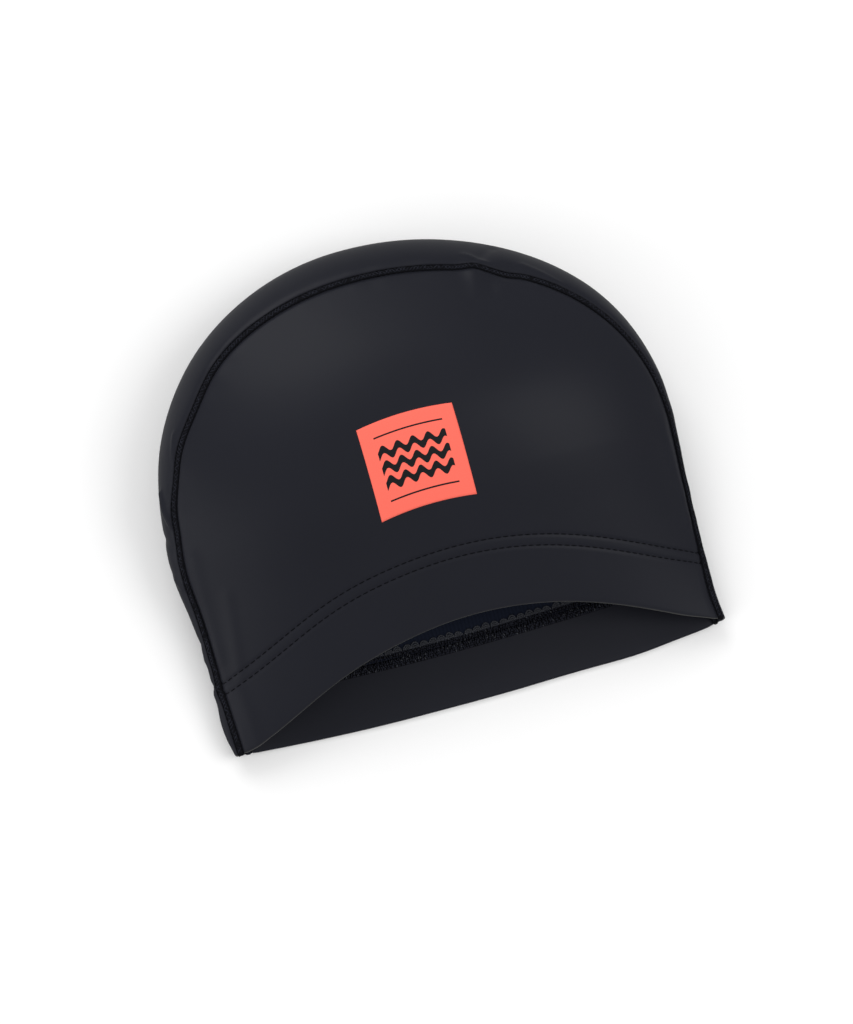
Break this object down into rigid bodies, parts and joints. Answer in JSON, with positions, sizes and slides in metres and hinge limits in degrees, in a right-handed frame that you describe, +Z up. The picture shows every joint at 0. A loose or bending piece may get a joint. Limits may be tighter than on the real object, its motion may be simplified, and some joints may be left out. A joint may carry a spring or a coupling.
{
  "type": "swim cap",
  "caption": "Soft coated-knit swim cap with a turned hem, flat crown seams and a plain square print, lying filled out on its back panel.",
  "frame": {"origin": "on the surface that the cap lies on, below the middle of its bounding box", "axes": "+Z up out of the front panel, +Y from the opening to the crown, X from side to side"},
  "size_m": [0.2134, 0.1892, 0.0577],
  "materials": {
    "coated_cloth": "near-black polyurethane-coated knit, smooth and matte-satin outside",
    "seam_thread": "black textured polyamide overlock and coverstitch thread",
    "print_ink": "coral screen print, matte"
  },
  "bodies": {
    "root": {"front_panel": "coated_cloth", "back_panel": "coated_cloth", "crown_strip": "coated_cloth", "front_seam": "seam_thread", "back_seam": "seam_thread", "print_square": "print_ink"}
  },
  "joints": []
}
